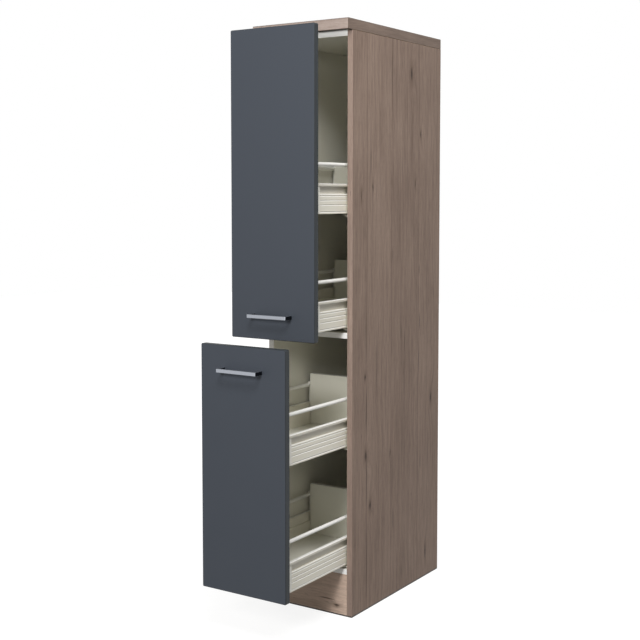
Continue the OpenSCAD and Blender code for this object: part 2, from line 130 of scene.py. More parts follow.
# %% [markdown]
# ## The studio
#
# The cabinet stands on a white floor before a white wall. The world is white only for what the camera and
# mirror-like surfaces see of it. To everything else it is a dim, even sky that fills the shadows. The floor
# is a sheet of grey paper that glows, again only for what the camera and mirrors see of it. Close to the
# cabinet it glows a little less than white, so that the lamps can draw a soft shadow on it, and from 2 m out
# it is as white as the wall, so that no horizon line shows. The paper lies half a millimetre low, so that it
# never coincides with the underside of a board.


# %% World and floor
def seen_rays(tree):
    path = add(tree, "LightPath")
    seen = {0: path.outputs["Is Camera Ray"], 1: path.outputs["Is Glossy Ray"]}
    mirrored_too = add(tree, "Math", {"operation": "MAXIMUM"}, seen).outputs[0]
    seen = {0: mirrored_too, 1: path.outputs["Is Transmission Ray"]}
    return add(tree, "Math", {"operation": "MAXIMUM"}, seen).outputs[0]


SKY = 0.30
world = bpy.data.worlds.new("white_studio")
world.use_nodes = True
bpy.context.scene.world = world
sky_tree = world.node_tree
sky_tree.nodes.clear()
dim = add(sky_tree, "Background", {"Color": linear("#FFFDF8"), "Strength": SKY})
white = add(sky_tree, "Background", {"Color": (1, 1, 1, 1), "Strength": 1.0})
both = add(sky_tree, "MixShader", {}, {0: seen_rays(sky_tree), 1: dim.outputs[0], 2: white.outputs[0]})
add(sky_tree, "OutputWorld", {}, {0: both.outputs[0]})

paper, paper_tree, paper_shader = start_material("white_background_paper", "#7C7C7C", 0.9)
spot = add(paper_tree, "TexCoord").outputs["Object"]
away = add(paper_tree, "VectorMath", {"operation": "LENGTH"}, {0: spot}).outputs["Value"]
fade = {"From Min": 0.5, "From Max": 2.0, "To Min": 0.86, "To Max": 1.0}
glow = add(paper_tree, "MapRange", fade, {0: away}).outputs[0]
glow = add(paper_tree, "Math", {"operation": "MULTIPLY"}, {0: glow, 1: seen_rays(paper_tree)}).outputs[0]
paper_shader.inputs["Emission Color"].default_value = (1, 1, 1, 1)
paper_tree.links.new(glow, paper_shader.inputs["Emission Strength"])

FLOOR_HALF, FLOOR_DROP = 9, 0.5 * MM
corners = [(x * FLOOR_HALF, y * FLOOR_HALF, -FLOOR_DROP) for x, y in ((-1, -1), (1, -1), (1, 1), (-1, 1))]
floor_mesh = bpy.data.meshes.new("studio_floor")
floor_mesh.from_pydata(corners, [], [(0, 1, 2, 3)])
floor_mesh.materials.append(paper)
floor = bpy.data.objects.new("studio_floor", floor_mesh)
bpy.context.scene.collection.objects.link(floor)
print("Sky", SKY, "and a floor", round(floor.dimensions.x), "m wide")

# %% [markdown]
# Three softboxes make the light. The first hangs in front, a little to the right and not much above the
# cabinet. It lights the fronts and the white front edges of the boards, and it throws the crisp shadow of
# the upper front onto the middle board. The second, larger one hangs high between the camera and the
# cabinet. It reaches in past the fronts to the drawers' back boards, and draws a bright line on every upward
# flange. The third hangs at the right, for the side panel and the drawer sides. The fronts keep the left wall
# in shade, and the light falls off towards the floor, as in the photo. A lamp's power is worked out from its
# distance: about 10 W at 1 m, growing with the distance squared, makes white paper white.

# %% Lamps
CABINET_FACE, CABINET_SIDE = (0, -0.1, 1.2), (0.15, 0.1, 1.3)


def softbox(name, place, aim, size, level):
    lamp = bpy.data.lights.new(name, "AREA")
    lamp.shape, lamp.size = "SQUARE", size
    towards = Vector(aim) - Vector(place)
    lamp.energy = level * math.pi**2 * towards.length_squared
    box = bpy.data.objects.new(name, lamp)
    box.location = place
    box.rotation_euler = towards.to_track_quat("-Z", "Y").to_euler()
    bpy.context.scene.collection.objects.link(box)
    print(name, round(lamp.energy), "W")


softbox("front_softbox", (0.65, -3.2, 2.0), CABINET_FACE, 0.7, 0.56)
softbox("high_softbox", (1.25, -2.15, 3.55), CABINET_FACE, 0.9, 0.48)
softbox("side_softbox", (1.8, -0.5, 3.3), CABINET_SIDE, 0.9, 0.4)

# %% [markdown]
# ## Oak decor
#
# The side panels, the slab and the plinth are chipboard faced with a printed oak paper, which is soaked in
# melamine and pressed hot onto the board. So the surface is dead flat, with a silky sheen that is the same
# all over, and the wood is only a picture: long grey-brown staves with fine streaks, a few knots and some
# dark drying cracks. A photo of wood could be laid on it, but it would repeat and blur. Here the figure is
# drawn by noise that is stretched along the grain. Its widths are those of real oak: growth bands of 7 to
# 14 mm, fibres of 2.5 mm, and pores under 1 mm wide, drawn 1 mm wide so that they show.
#
# soft() gives the settings of a gentle step between two values, streaks() is the stretched noise, and
# from_oval() measures how far a point lies from the middle of an oval stain.


# %% Grain helpers
def soft(start, end, low, high):
    span = {"From Min": start, "From Max": end, "To Min": low, "To Max": high}
    return {"interpolation_type": "SMOOTHSTEP", **span}


def streaks(tree, place, width, length, detail):
    drawn = add(tree, "Mapping", {"Scale": (1 / (width * MM), 1 / (length * MM), 1)}, {0: place}).outputs[0]
    return add(tree, "TexNoise", {"Scale": 1.0, "Detail": detail}, {0: drawn}).outputs[0]


def from_oval(tree, place, oval):
    a, b, half_width, half_length = (v * MM for v in oval)
    move, scale = (-a / half_width, -b / half_length, 0), (1 / half_width, 1 / half_length, 0)
    spot = add(tree, "Mapping", {"Location": move, "Scale": scale}, {0: place}).outputs[0]
    return add(tree, "VectorMath", {"operation": "LENGTH"}, {0: spot}).outputs["Value"]


# %% [markdown]
# A knot is an oval with a dark core in a brown halo, ragged at its rim. Round it the grain's own coordinate
# is pushed sideways, so that the streaks swing round the knot as they do in a tree. A drying crack is a
# straight, thin, dark oval, which pushes nothing. Both are given as distance across, distance along, half
# width and half length. A stave is a lengthwise step in tone, with a thin dark seam. Short dark flecks come
# from noise alone. RAGGED is how far a knot's rim wanders, SWAY how far the grain does on its long way, and
# SWING how far a knot pushes it, in half widths of the knot.

# %% Knots, cracks and seams
RAGGED, SWAY, SWING = 4 * MM, 14 * MM, 1.5


def add_marks(tree, flat, side, knots, cracks, staves):
    wave = streaks(tree, flat, 9, 30, 2)
    wave = add(tree, "MapRange", soft(0, 1, -RAGGED, RAGGED), {0: wave}).outputs[0]
    wave = add(tree, "CombineXYZ", {}, {0: wave}).outputs[0]
    ragged = add(tree, "VectorMath", {"operation": "ADD"}, {0: flat, 1: wave}).outputs[0]
    push = streaks(tree, flat, 160, 500, 1)
    push = add(tree, "MapRange", soft(0, 1, -SWAY, SWAY), {0: push}).outputs[0]
    flecks = streaks(tree, flat, 5, 40, 2)
    stain = halo = add(tree, "MapRange", soft(0.68, 0.85, 0, 0.4), {0: flecks}).outputs[0]
    for knot in knots:
        far = from_oval(tree, ragged, knot)
        core = add(tree, "MapRange", soft(0.1, 0.6, 0.9, 0), {0: far}).outputs[0]
        rim = add(tree, "MapRange", soft(0.2, 1.5, 0.5, 0), {0: far}).outputs[0]
        swing = add(tree, "MapRange", soft(0, 3, SWING * knot[2] * MM, 0), {0: far}).outputs[0]
        stain = add(tree, "Math", {"operation": "MAXIMUM"}, {0: stain, 1: core}).outputs[0]
        halo = add(tree, "Math", {"operation": "MAXIMUM"}, {0: halo, 1: rim}).outputs[0]
        push = add(tree, "Math", {"operation": "ADD"}, {0: push, 1: swing}).outputs[0]
    for crack in cracks:
        line = add(tree, "MapRange", soft(0.2, 1, 0.75, 0), {0: from_oval(tree, flat, crack)}).outputs[0]
        stain = add(tree, "Math", {"operation": "MAXIMUM"}, {0: stain, 1: line}).outputs[0]
    for edge, _ in staves:
        off = add(tree, "Math", {"operation": "SUBTRACT"}, {0: side, 1: edge * MM}).outputs[0]
        off = add(tree, "Math", {"operation": "ABSOLUTE"}, {0: off}).outputs[0]
        seam = add(tree, "MapRange", soft(0.5 * MM, 3 * MM, 0.4, 0), {0: off}).outputs[0]
        halo = add(tree, "Math", {"operation": "MAXIMUM"}, {0: halo, 1: seam}).outputs[0]
    return stain, halo, push


# %% [markdown]
# The figure itself is one tone between a light and a dark brown. Four streak patterns, each with its width,
# length, detail and weight in STREAKS, are added up in it, then the staves' steps. Pores, halos and stains
# are laid over it, one after the other. The grain runs along one axis of the cabinet and the staves lie
# across it. seed picks a slice of the noise, so that no two cuts show the same figure.

# %% Oak decor, pressed melamine on chipboard
STREAKS = ((14, 420, 2, 0.8), (7, 150, 3, 1.0), (2.5, 40, 2, 1.0), (110, 300, 1, 0.8))


def oak_decor(name, along, across, seed, knots=(), cracks=(), staves=(), light="#9C8779", dark="#735F53"):
    material, tree, shader = start_material(name, light, 0.55, ior=1.35)
    split = add(tree, "SeparateXYZ", {}, {0: add(tree, "TexCoord").outputs["Object"]})
    side = split.outputs[across]
    flat = add(tree, "CombineXYZ", {2: seed}, {0: side, 1: split.outputs[along]}).outputs[0]
    stain, halo, push = add_marks(tree, flat, side, knots, cracks, staves)
    bent = add(tree, "CombineXYZ", {}, {0: push}).outputs[0]
    bent = add(tree, "VectorMath", {"operation": "ADD"}, {0: flat, 1: bent}).outputs[0]

    tone = 0.5
    for width, length, detail, weight in STREAKS:
        streak = streaks(tree, bent, width, length, detail)
        streak = add(tree, "Math", {"operation": "SUBTRACT", 1: 0.5}, {0: streak}).outputs[0]
        tone = add(tree, "Math", {"operation": "MULTIPLY_ADD"}, {0: streak, 1: weight, 2: tone}).outputs[0]
    for edge, step in staves:
        past = add(tree, "Math", {"operation": "GREATER_THAN"}, {0: side, 1: edge * MM}).outputs[0]
        tone = add(tree, "Math", {"operation": "MULTIPLY_ADD"}, {0: past, 1: step, 2: tone}).outputs[0]
    pores = streaks(tree, bent, 1.0, 16, 1)
    pores = add(tree, "MapRange", soft(0.6, 0.75, 0, 0.35), {0: pores}).outputs[0]
    browns = {"data_type": "RGBA", 6: linear(dark), 7: linear(light)}
    figure = add(tree, "Mix", browns, {0: tone}).outputs[2]
    for mask, colour in ((pores, "#5E4C40"), (halo, "#5E483A"), (stain, "#33261E")):
        figure = add(tree, "Mix", {"data_type": "RGBA", 7: linear(colour)}, {0: mask, 6: figure}).outputs[2]
    tree.links.new(figure, shader.inputs["Base Color"])
    relief = add(tree, "Bump", {"Strength": 0.25, "Distance": 0.15 * MM, "invert": True}, {"Height": pores})
    tree.links.new(relief.outputs[0], shader.inputs["Normal"])
    return material


# %% [markdown]
# Every knot and crack of the right side is listed, by its distance from the front edge and its
# height, and so is every stave, by where it starts and its step in tone. The other cuts have a few of their
# own. The bands round the slab and the upright front edges are the same decor, a shade lighter or darker;
# the slab's front band is lighter as a painted highlight, and the plinth's decor much lighter, painted light
# against the shade it lies in. Where two faces of the slab meet, the band is trimmed by 1.6 mm, and its cut
# edge shows as a thin darker line.

# %% Cuts of the oak decor
RIGHT_KNOTS = [
    (350, 1632, 14, 46), (413, 1447, 8, 28), (116, 1274, 6, 30), (49, 1250, 6, 30), (378, 1288, 4, 40),
    (74, 711, 7, 24), (491, 592, 11, 40), (78, 474, 14, 40), (224, 455, 5, 24), (104, 318, 11, 36),
    (458, 83, 9, 50),
]  # fmt: skip
RIGHT_CRACKS = [
    (228, 1623, 3, 110), (104, 1352, 3, 66), (236, 1072, 2, 30), (407, 1017, 2.5, 26), (412, 848, 3, 38),
    (407, 727, 2.5, 62), (290, 828, 3, 36), (314, 793, 2.5, 44), (78, 832, 2.5, 116), (80, 609, 4, 100),
    (83, 400, 3.5, 110), (84, 150, 3, 150), (141, 749, 2, 136), (420, 389, 3, 32), (244, 241, 3, 48),
]  # fmt: skip
RIGHT_STAVES = [(83, 0.1), (228, -0.2), (402, 0.12)]
LEFT_KNOTS = [
    (120, 1400, 12, 40), (210, 860, 9, 28), (350, 380, 11, 34), (470, 1560, 8, 26), (90, 620, 6, 24),
]  # fmt: skip
LEFT_CRACKS = [
    (300, 1130, 3, 80), (430, 700, 3, 44), (90, 520, 3, 130), (250, 180, 3, 50), (505, 250, 2.5, 76),
]  # fmt: skip
LEFT_STAVES = [(104, -0.1), (266, 0.14), (390, -0.1)]
TOP_KNOTS, TOP_CRACKS = [(-60, 210, 10, 30)], [(70, 400, 3, 70), (-130, 330, 3, 56)]
TOP_STAVES = [(-96, 0.1), (48, -0.12)]
PLINTH_KNOTS, PLINTH_CRACKS = [(84, -40, 8, 30), (30, 96, 9, 26)], [(60, -85, 3, 44), (44, 60, 3, 40)]
oak_right = oak_decor("oak_decor_pressed_right_side", "Z", "Y", 1.0, RIGHT_KNOTS, RIGHT_CRACKS, RIGHT_STAVES)
oak_left = oak_decor("oak_decor_pressed_left_side", "Z", "Y", 4.0, LEFT_KNOTS, LEFT_CRACKS, LEFT_STAVES)
oak_top = oak_decor("oak_decor_pressed_slab_top", "Y", "X", 7.0, TOP_KNOTS, TOP_CRACKS, TOP_STAVES)
# The plinth's light browns are painted light, against the shade it lies in.
oak_plinth_painted_light = oak_decor(
    "oak_decor_pressed_plinth_painted_light", "X", "Z", 9.0, PLINTH_KNOTS, PLINTH_CRACKS, light="#DCC3B1", dark="#AE9686"
)
band_upright = oak_decor("oak_decor_edge_band_upright", "Z", "X", 11.0, light="#9E8A7E", dark="#837066")
# The slab's front band is lighter as a painted highlight.
band_front_painted_light = oak_decor("oak_decor_edge_band_front_painted_light", "X", "Z", 13.0, light="#AC9D95", dark="#8C7C73")
band_side = oak_decor("oak_decor_edge_band_side", "Y", "Z", 15.0, light="#8B796D", dark="#66564C")
band_cut = oak_decor("oak_decor_edge_band_trimmed", "Y", "Z", 17.0, light="#635449", dark="#4C4038")
print("Oak decor:", len([m for m in bpy.data.materials if m.name.startswith("oak")]), "cuts of it")

# %% [markdown]
# ## Raw chipboard
#
# Where no band hides it, at the rear edges of the panels, the board shows its core: pressed wood chips,
# sawn through. Cells of uneven colour, 3 mm across and 0.4 mm in relief, give that crumbly look.

# %% Raw chipboard, sawn
CHIP = 3


def chipboard(name):
    material, tree, shader = start_material(name, "#B99A72", 0.85)
    place = add(tree, "TexCoord").outputs["Object"]
    chips = add(tree, "TexVoronoi", {"Scale": 1 / (CHIP * MM)}, {"Vector": place})
    tint = add(tree, "SeparateColor", {}, {0: chips.outputs["Color"]}).outputs[0]
    chip_browns = {"data_type": "RGBA", 6: linear("#9C7D58"), 7: linear("#CDB48E")}
    mixed = add(tree, "Mix", chip_browns, {0: tint}).outputs[2]
    tree.links.new(mixed, shader.inputs["Base Color"])
    rough = add(tree, "Bump", {"Strength": 0.5, "Distance": 0.4 * MM}, {"Height": chips.outputs["Distance"]})
    tree.links.new(rough.outputs[0], shader.inputs["Normal"])
    return material


raw_chipboard = chipboard("chipboard_raw_sawn")
print("Chips", CHIP, "mm across")

# %% [markdown]
# ## White melamine and hardboard
#
# The boards inside are the same chipboard with a plain white paper. Its press plate leaves a fine pearl
# texture, which softens highlights: a bump of 0.8 mm grains, very shallow. Over 90 mm or so the gloss drifts
# a little, as on any real surface. pearled() makes both, and it serves every pressed, sprayed and moulded
# finish that follows, each with the size of its own grains. The back panel is 3 mm hardboard, lacquered
# white on the side that faces in. Its rear stays brown, with a faint mottling of fibres. The boards between
# the side panels have a purer white ABS band on their front edges, so their material has two colours and
# picks one by the way a face looks.

# %% White melamine, pressed; hardboard, lacquered on one side
PEARL_DEPTH, CLOUD, GLOSS_DRIFT = 0.05, 90, 0.05
WHITE_PAPER, WHITE_LACQUER = "#E8E6DA", "#DAD8D2"


def pearled(name, colour, roughness, grain, strength, ior=1.5):
    material, tree, shader = start_material(name, colour, roughness, ior)
    place = add(tree, "TexCoord").outputs["Object"]
    grains = add(tree, "TexNoise", {"Scale": 1 / (grain * MM), "Detail": 1.0}, {"Vector": place}).outputs[0]
    relief = add(tree, "Bump", {"Strength": strength, "Distance": PEARL_DEPTH * MM}, {"Height": grains})
    tree.links.new(relief.outputs[0], shader.inputs["Normal"])
    cloud = add(tree, "TexNoise", {"Scale": 1 / (CLOUD * MM), "Detail": 1.0}, {"Vector": place}).outputs[0]
    drift = {"To Min": roughness - GLOSS_DRIFT, "To Max": roughness + GLOSS_DRIFT}
    gloss = add(tree, "MapRange", drift, {0: cloud}).outputs[0]
    tree.links.new(gloss, shader.inputs["Roughness"])
    return material


white_melamine = pearled("white_melamine_pressed", WHITE_PAPER, 0.5, 0.8, 0.3)
# Near black, as painted shade for the slab's underside.
painted_shade_backing = pearled("melamine_backing_paper_painted_shade", "#2A2420", 0.7, 0.8, 0.2)
# A real white band, which on the drawers' back boards is also a painted highlight on the top and side edges.
white_band_and_painted_highlight = pearled("white_abs_edge_band_and_painted_highlight", "#F6F4F0", 0.35, 1.5, 0.15)
banded_board = pearled("white_melamine_pressed_with_abs_front_band", WHITE_PAPER, 0.45, 0.8, 0.3)
tree = banded_board.node_tree
facing = add(tree, "SeparateXYZ", {}, {0: add(tree, "TexCoord").outputs["Normal"]}).outputs["Y"]
forward = add(tree, "Math", {"operation": "LESS_THAN", 1: -0.5}, {0: facing}).outputs[0]
paper_or_band = {"data_type": "RGBA", 6: linear(WHITE_PAPER), 7: linear("#FBFAF7")}
shade = add(tree, "Mix", paper_or_band, {0: forward}).outputs[2]
tree.links.new(shade, tree.nodes["Principled BSDF"].inputs["Base Color"])

hardboard, tree, shader = start_material("hardboard_white_lacquered_one_side", WHITE_LACQUER, 0.6)
coords = add(tree, "TexCoord")
facing = add(tree, "SeparateXYZ", {}, {0: coords.outputs["Normal"]}).outputs["Y"]
rear = add(tree, "Math", {"operation": "GREATER_THAN", 1: 0.5}, {0: facing}).outputs[0]
mottled = {"Scale": 1 / (4 * MM), "Detail": 3.0}
fibres = add(tree, "TexNoise", mottled, {"Vector": coords.outputs["Object"]}).outputs[0]
fibre_browns = {"data_type": "RGBA", 6: linear("#6E5038"), 7: linear("#93714F")}
brown = add(tree, "Mix", fibre_browns, {0: fibres}).outputs[2]
two_sides = add(tree, "Mix", {"data_type": "RGBA", 6: linear(WHITE_LACQUER)}, {0: rear, 7: brown}).outputs[2]
tree.links.new(two_sides, shader.inputs["Base Color"])
print("Inside:", white_melamine.name, banded_board.name, hardboard.name)

# %% [markdown]
# ## Slate lacquer
#
# The fronts are MDF with rounded edges, sprayed in a matt slate lacquer. Matt lacquer scatters light, so the
# colour hardly changes with the angle. The rounded arrises and the narrow sides are painted a deeper tone, as
# painted shade where less light falls, and that frames the front with a dark line. Under a close look the
# spray leaves an orange peel about 2 mm across. It is drawn here at that size and hardly shows.

# %% Slate lacquer, sprayed matt on MDF
slate = pearled("slate_lacquer_sprayed_matt_on_mdf", "#3D424A", 0.55, 2.0, 0.2, ior=1.35)
# The edge tone is painted shade on the fronts' narrow sides and rounded arrises.
slate_painted_shade_edge = pearled("slate_lacquer_painted_shade_on_edge", "#252A2E", 0.5, 2.0, 0.2, ior=1.35)
white_backing = pearled("white_melamine_pressed_front_backing", "#E4E2DC", 0.5, 0.8, 0.3)
print("Fronts:", slate.name, slate_painted_shade_edge.name, white_backing.name)

# %% [markdown]
# ## Coated steel, plated metal and plastics
#
# The drawer sides and runners are 1.2 to 1.5 mm sheet steel, folded on a press brake and powder coated in
# cream. The powder melts to a thick skin, which rounds every arris and shines softly. The rails and brackets
# wear a whiter coat. On the drawer sides the same white is a painted highlight on the flange tops and the
# beads' upward slopes, and a greyer cream is painted shade on the upper web, the hem's outer face and the
# beads' downward slopes. The handles are cast zinc, satin nickel on the bar, and their legs and sideways
# faces are dark. Polishing leaves fine marks in a plating, which run along the bar and are 30 mm long.
# The rollers are moulded nylon, a little milky, and the caps and rear holders are white ABS. Screws and
# locks are zinc plated. The front buffers are clear vinyl, and the dowels are turned beech, with flecks
# along the grain. The dark PVC strip under the panels and the plinth is painted shade along the floor.

# %% Steel, zinc and plastics
POLISH_MARK, DULL_DRIFT, FLECK, FLECK_WIDTH = 30, 0.08, 8, 0.7
cream_steel = pearled("steel_sheet_powder_coated_cream", "#EDE9DB", 0.38, 1.6, 0.3)
# A real white coat on rails and brackets, and a painted highlight on the drawer sides' flange tops and upward
# bead slopes.
white_steel_and_painted_highlight = pearled("steel_powder_coated_white_and_painted_highlight", "#FBFAF6", 0.32, 1.6, 0.2)
# A greyer cream: painted shade on the drawer sides' upper web, hem face and downward bead slopes.
painted_shade_steel = pearled("steel_sheet_powder_coated_painted_shade", "#D4D0C4", 0.42, 1.6, 0.3)
white_abs = pearled("abs_moulded_white", "#ECEAE2", 0.45, 0.7, 0.3)
# A dark strip at the foot of the panels: painted shade along the floor.
painted_shade_lip = pearled("pvc_dark_brown_painted_shade", "#3A322D", 0.5, 0.9, 0.2)
vinyl = pearled("vinyl_moulded_clear", "#F2F2EE", 0.2, 1.0, 0.1, ior=1.53)
vinyl.node_tree.nodes["Principled BSDF"].inputs["Transmission Weight"].default_value = 0.7


def plated(name, colour, roughness, grain, strength):
    material, tree, shader = start_material(name, colour, roughness, metallic=1.0)
    place = add(tree, "TexCoord").outputs["Object"]
    mark = {"Scale": (1 / (POLISH_MARK * MM), 1 / (grain * MM), 1 / (grain * MM))}
    drawn = add(tree, "Mapping", mark, {0: place}).outputs[0]
    marks = add(tree, "TexNoise", {"Scale": 1.0, "Detail": 2.0}, {"Vector": drawn}).outputs[0]
    drift = {"To Min": roughness - DULL_DRIFT, "To Max": roughness + DULL_DRIFT}
    dull = add(tree, "MapRange", drift, {0: marks}).outputs[0]
    tree.links.new(dull, shader.inputs["Roughness"])
    relief = add(tree, "Bump", {"Strength": strength, "Distance": 0.02 * MM}, {"Height": marks})
    tree.links.new(relief.outputs[0], shader.inputs["Normal"])
    return material


satin_nickel = plated("zinc_cast_satin_nickel_plated", "#A2A6AE", 0.36, 0.5, 0.3)
dark_legs_and_ends = plated("zinc_cast_dark_legs_and_ends", "#2E3036", 0.4, 0.5, 0.2)
zinc_plate = plated("steel_zinc_plated", "#B9BCC2", 0.34, 1.2, 0.2)

nylon, tree, shader = start_material("nylon_moulded_natural", "#E2E0D4", 0.4, ior=1.53)
shader.inputs["Subsurface Weight"].default_value = 0.15
shader.inputs["Subsurface Radius"].default_value = (1.5 * MM, 1.5 * MM, 1.2 * MM)
place = add(tree, "TexCoord").outputs["Object"]
skin = add(tree, "TexNoise", {"Scale": 1 / (1.0 * MM), "Detail": 2.0}, {"Vector": place}).outputs[0]
relief = add(tree, "Bump", {"Strength": 0.15, "Distance": 0.03 * MM}, {"Height": skin})
tree.links.new(relief.outputs[0], shader.inputs["Normal"])

beech, tree, shader = start_material("beech_turned", "#C9A67B", 0.6)
place = add(tree, "TexCoord").outputs["Object"]
ray = {"Scale": (1 / (FLECK * MM), 1 / (FLECK_WIDTH * MM), 1 / (FLECK_WIDTH * MM))}
rays = add(tree, "Mapping", ray, {0: place}).outputs[0]
flecks = add(tree, "TexNoise", {"Scale": 1.0, "Detail": 2.0}, {"Vector": rays}).outputs[0]
beech_browns = {"data_type": "RGBA", 6: linear("#A9835A"), 7: linear("#D6B68C")}
wood = add(tree, "Mix", beech_browns, {0: flecks}).outputs[2]
tree.links.new(wood, shader.inputs["Base Color"])
print("Materials:", len(bpy.data.materials))

# %% [markdown]
# ## Dressing the CAD parts
#
# Many parts have the right shape already: flat boards inside, round rails, rollers, dowels and cams. They
# stay as they are and get their material. The boards and the flat fittings also get a bevel modifier, which
# eases their arrises by less than a millimetre, so that an edge catches light as a real one does. A drawer's
# name starts with the letter of the pull-out that it hangs on, upper or lower.

# %% Materials on CAD parts
PARTS, DRAWERS = ("upper", "lower"), ("u1", "u2", "l1", "l2")
PULLOUT = {drawer: f"{part}_pullout" for part in PARTS for drawer in DRAWERS if drawer[0] == part[0]}
FINISH = {
    "top_board": banded_board, "middle_board": banded_board, "bottom_board": banded_board,
    "back_panel": hardboard, "board_dowels": beech, "cam_locks": zinc_plate, "wall_brackets": zinc_plate,
}  # fmt: skip
for drawer in DRAWERS:
    FINISH[f"{drawer}_base"] = white_melamine
    FINISH[f"{drawer}_rails"] = FINISH[f"{drawer}_front_brackets"] = white_steel_and_painted_highlight
    FINISH[f"{drawer}_front_rollers"] = FINISH[f"{drawer}_rear_rollers"] = nylon
    FINISH[f"{drawer}_rear_holders"] = white_abs
EASED = {"board": 0.8, "base": 0.8, "rear_holders": 0.4, "front_brackets": 0.3, "wall_brackets": 0.4}
for node, material in FINISH.items():
    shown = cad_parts[node]
    shown.data.materials.clear()
    shown.data.materials.append(material)
    for ending, width in EASED.items():
        if node.endswith(ending):
            easing = shown.modifiers.new("eased_arrises", "BEVEL")
            easing.width, easing.segments = width * MM, 2
            easing.limit_method, easing.angle_limit = "ANGLE", math.radians(40)
            easing.use_clamp_overlap = False
print("CAD parts that keep their shape:", len(FINISH))

# %% [markdown]
# ## Building a board
#
# A cabinet board is a block, but no real arris is sharp: the machine that glues the edge band also rounds it
# by about a millimetre. That thin rounding is what draws a line of light along an edge. bmesh makes the
# block and rounds it. piece() then sorts its faces by the way they look, so that a band, a face and a raw
# edge each take their own material: finishes names one for each way, "arris" for faces on a slant and
# "rest" for all others. A face that was given a number from 1 up before keeps it, and it counts the
# materials from 0 in their order in finishes. Weighted normals keep the large faces flat to the eye.

# %% Board helpers
SLANT = 0.98
LOOKS = {
    "left": (-1, 0, 0), "right": (1, 0, 0), "front": (0, -1, 0), "rear": (0, 1, 0),
    "under": (0, 0, -1), "top": (0, 0, 1),
}  # fmt: skip


def add_block(bm, low, high):
    corners = bmesh.ops.create_cube(bm, size=1)["verts"]
    for v in corners:
        v.co = [low[i] if v.co[i] < 0 else high[i] for i in range(3)]
    return list(dict.fromkeys(edge for v in corners for edge in v.link_edges))


def ease(bm, edges, width, steps=3):
    bmesh.ops.bevel(bm, geom=edges, offset=width, segments=steps, profile=0.5, affect="EDGES")


def piece(name, bm, finishes, body, slot, *nodes):
    """Gives a bmesh in millimetres its materials, and puts it on its body in place of CAD nodes."""
    bmesh.ops.recalc_face_normals(bm, faces=bm.faces[:])
    materials = list(dict.fromkeys(finishes.values()))
    for face in bm.faces:
        looks = max(LOOKS, key=lambda side: face.normal.dot(Vector(LOOKS[side])))
        if "arris" in finishes and face.normal.dot(Vector(LOOKS[looks])) < SLANT:
            looks = "arris"
        if face.material_index == 0:
            face.material_index = materials.index(finishes.get(looks, finishes["rest"]))
        face.smooth = True
    bm.transform(Matrix.Scale(MM, 4))
    mesh = bpy.data.meshes.new(name)
    bm.to_mesh(mesh)
    bm.free()
    for material in materials:
        mesh.materials.append(material)
    mesh.set_sharp_from_angle(angle=math.radians(35))
    made = bpy.data.objects.new(name, mesh)
    bpy.context.scene.collection.objects.link(made)
    made.modifiers.new("even_shading", "WEIGHTED_NORMAL").keep_sharp = True
    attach(made, body)
    if nodes:
        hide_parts(*nodes)


def box_mm(node):
    return [[v / MM for v in corner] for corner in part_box(node)]


# %% [markdown]
# ## Side panels, slab and plinth
#
# The side panels stand on the floor. Each is oak decor outside and white inside, with a band in front and a
# raw rear edge, and a groove near the rear takes the back panel. So its outline is drawn in plan and pulled
# up like an extrusion. The right panel's front band is oak, and the left one's is white, as the photo shows
# in the gap between the fronts. A thin dark strip at the foot of the panels and the plinth is painted shade:
# it draws the dark contact shadow along the floor.

# %% Side panels
GROOVE_DEPTH, GROOVE, SHADE_LIP_HEIGHT, BOARD_ARRIS = 8, (532.9, 536.1), 4.5, 0.8
SIDE_BOARDS = (
    (1, "side_panel_right", oak_right, band_upright),
    (-1, "side_panel_left", oak_left, white_band_and_painted_highlight),
)


def add_prism(bm, outline, along, start, end):
    """Pulls an outline along Y, where it is given as x and z, or up along Z, where it is x and y."""
    place = {"Y": lambda a, b, t: (a, t, b), "Z": lambda a, b, t: (a, b, t)}[along]
    near, far = ([bm.verts.new(place(a, b, t)) for a, b in outline] for t in (start, end))
    bm.faces.new(near)
    bm.faces.new(far)
    for i in range(len(outline)):
        bm.faces.new((near[i - 1], near[i], far[i], far[i - 1]))


def cut_at(bm, point, direction):
    everything = bm.verts[:] + bm.edges[:] + bm.faces[:]
    bmesh.ops.bisect_plane(bm, geom=everything, plane_co=point, plane_no=direction)


def cut_shade_lip(bm):
    # Faces below the cut take the dark strip, painted shade along the floor.
    cut_at(bm, (0, 0, SHADE_LIP_HEIGHT), (0, 0, 1))
    for face in bm.faces:
        face.material_index = int(face.calc_center_median().z < SHADE_LIP_HEIGHT)


for side, name, decor, band in SIDE_BOARDS:
    low, high = box_mm(name)
    inner, outer = sorted((abs(low[0]), abs(high[0])))
    plan = [(inner, low[1]), (outer, low[1]), (outer, high[1]), (inner, high[1])]
    plan += [(inner, GROOVE[1]), (inner + GROOVE_DEPTH, GROOVE[1])]
    plan += [(inner + GROOVE_DEPTH, GROOVE[0]), (inner, GROOVE[0])]
    bm = bmesh.new()
    add_prism(bm, [(side * a, b) for a, b in plan], "Z", low[2], high[2])
    bmesh.ops.recalc_face_normals(bm, faces=bm.faces[:])
    ease(bm, [edge for edge in bm.edges if edge.is_convex], BOARD_ARRIS)
    cut_shade_lip(bm)
    outside, inside = ("right", "left") if side > 0 else ("left", "right")
    looks = {"rest": raw_chipboard, "lip": painted_shade_lip, "front": band, outside: decor, inside: white_melamine}
    piece(name.replace("panel", "board"), bm, looks, "carcass", "oak_decor", name)
    print(name, round(high[2] - low[2]), "mm high")

# %% [markdown]
# The slab on top is thicker. Its grain runs from front to rear, while the bands round it have their grain
# along the edge, as a band cut from a roll does. Its underside has a backing paper that keeps the slab flat,
# painted near black as painted shade, so it shows as a fine dark line where the slab overhangs in front.

